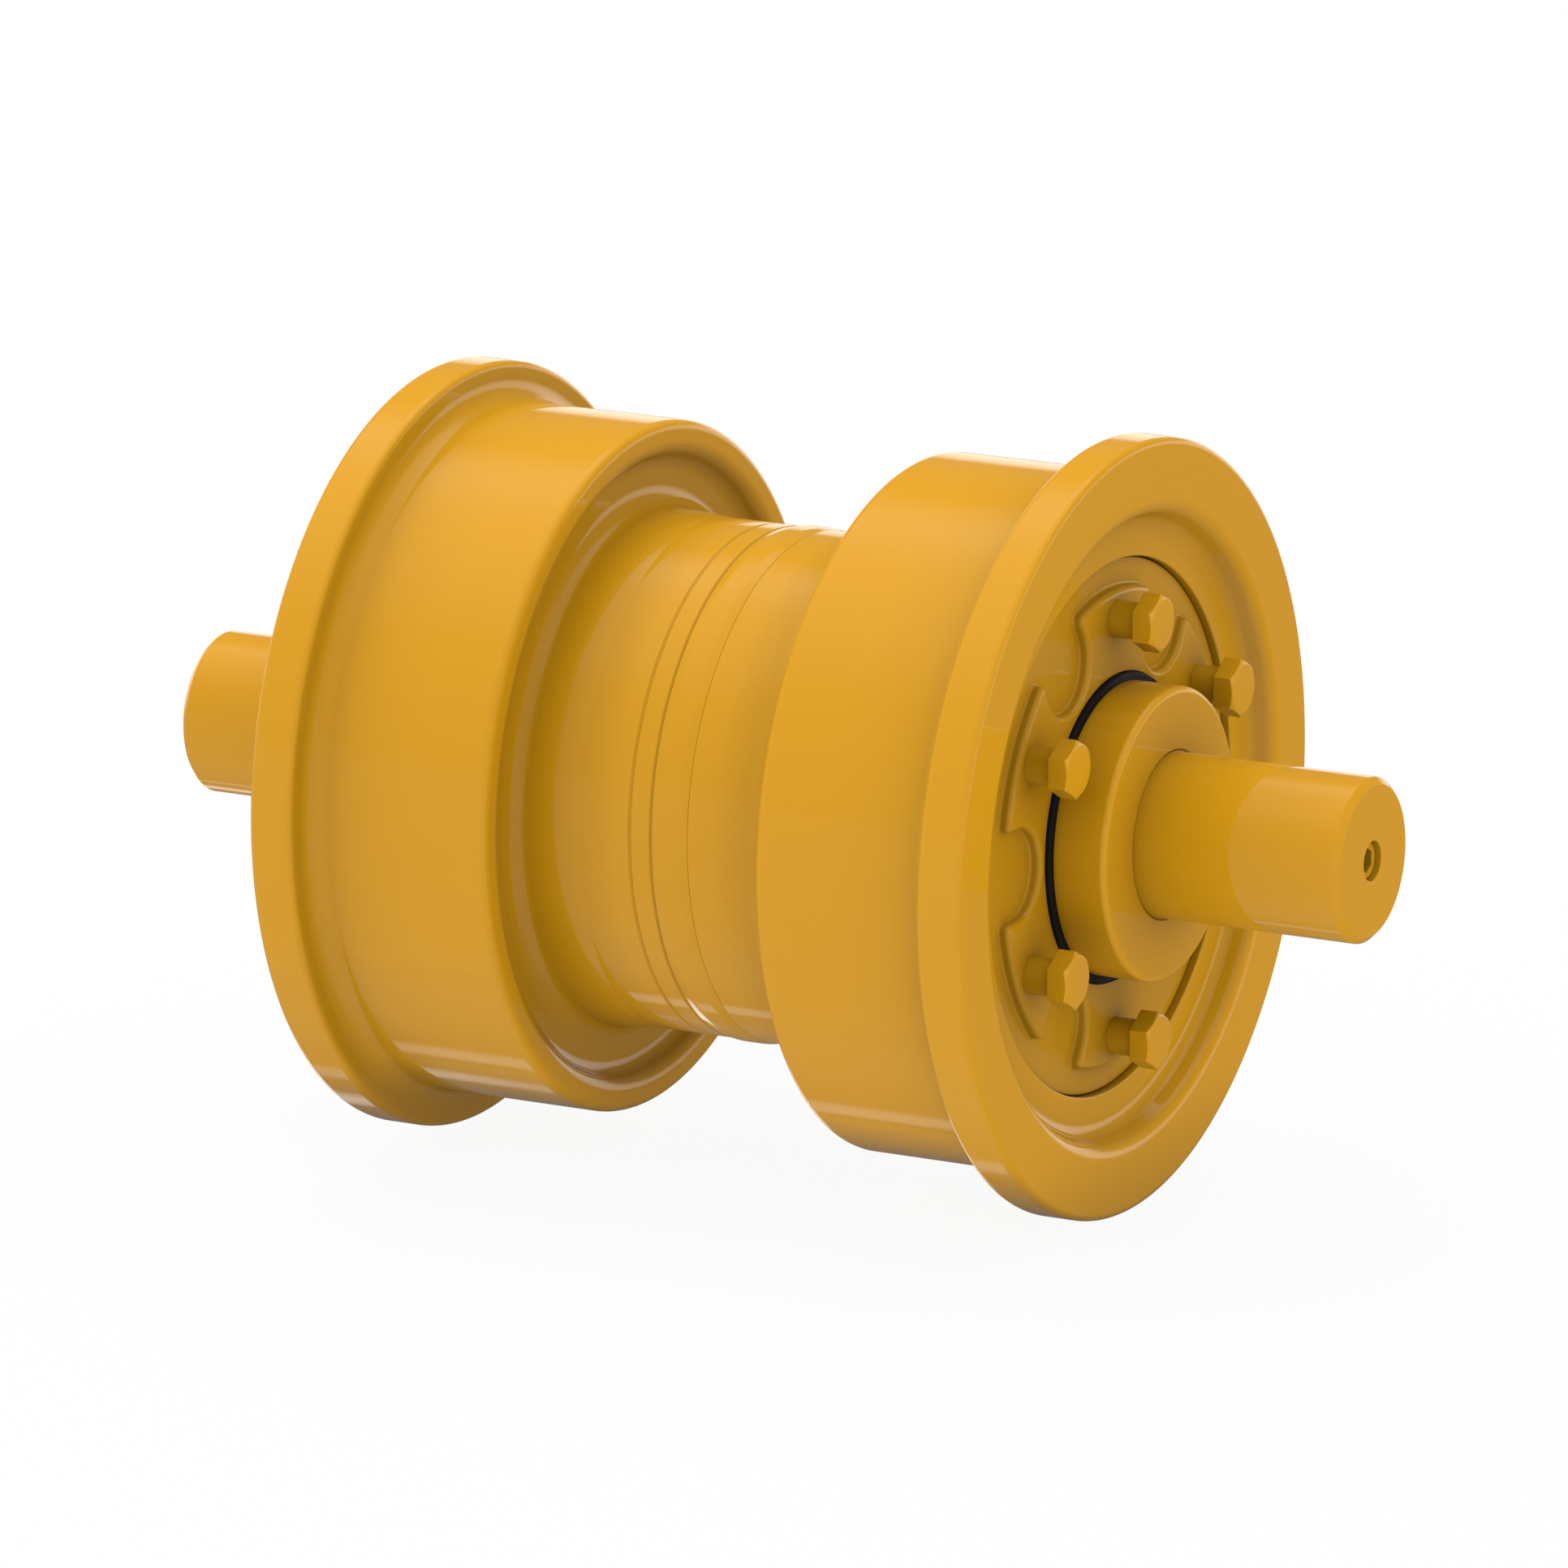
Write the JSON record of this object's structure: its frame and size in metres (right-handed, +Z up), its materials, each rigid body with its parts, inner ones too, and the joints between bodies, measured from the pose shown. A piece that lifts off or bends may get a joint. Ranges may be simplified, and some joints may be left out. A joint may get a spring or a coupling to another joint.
{
  "type": "single flange track roller",
  "caption": "Crawler track roller: two treads with outer flanges joined by a barrel, bolted lobed seal retainers, end collars and a fixed shaft with plain pin ends.",
  "frame": {"origin": "on the shaft's axis, midway between the two shaft ends", "axes": "+X along the shaft towards the end with the oil plug, +Z up, +Y across the track roller"},
  "size_m": [0.55, 0.33, 0.33],
  "materials": {
    "yellow_paint": "glossy yellow machine paint over forged and cast steel",
    "black_rubber": "matt black rubber",
    "bronze": "machined bearing bronze",
    "seal_steel": "lapped hard steel"
  },
  "bodies": {
    "shaft": {"shaft": "yellow_paint", "oil_plug": "yellow_paint", "end_collar_left": "yellow_paint", "fixed_seal_ring_left": "seal_steel", "fixed_toric_left": "black_rubber", "collar_o_ring_left": "black_rubber", "guard_ring_left": "black_rubber", "end_collar_right": "yellow_paint", "fixed_seal_ring_right": "seal_steel", "fixed_toric_right": "black_rubber", "collar_o_ring_right": "black_rubber", "guard_ring_right": "black_rubber"},
    "roller": {"rim_half_left": "yellow_paint", "rim_half_right": "yellow_paint", "centre_weld": "yellow_paint", "retainer_left": "yellow_paint", "retainer_bolts_left": "yellow_paint", "bush_left": "bronze", "rotating_seal_ring_left": "seal_steel", "rotating_toric_left": "black_rubber", "retainer_o_ring_left": "black_rubber", "retainer_right": "yellow_paint", "retainer_bolts_right": "yellow_paint", "bush_right": "bronze", "rotating_seal_ring_right": "seal_steel", "rotating_toric_right": "black_rubber", "retainer_o_ring_right": "black_rubber"}
  },
  "joints": [
    {"name": "roller_spin", "type": "hinge", "parent": "shaft", "child": "roller", "pos_m": [0, 0, 0], "axis": [1, 0, 0], "continuous": true}
  ]
}
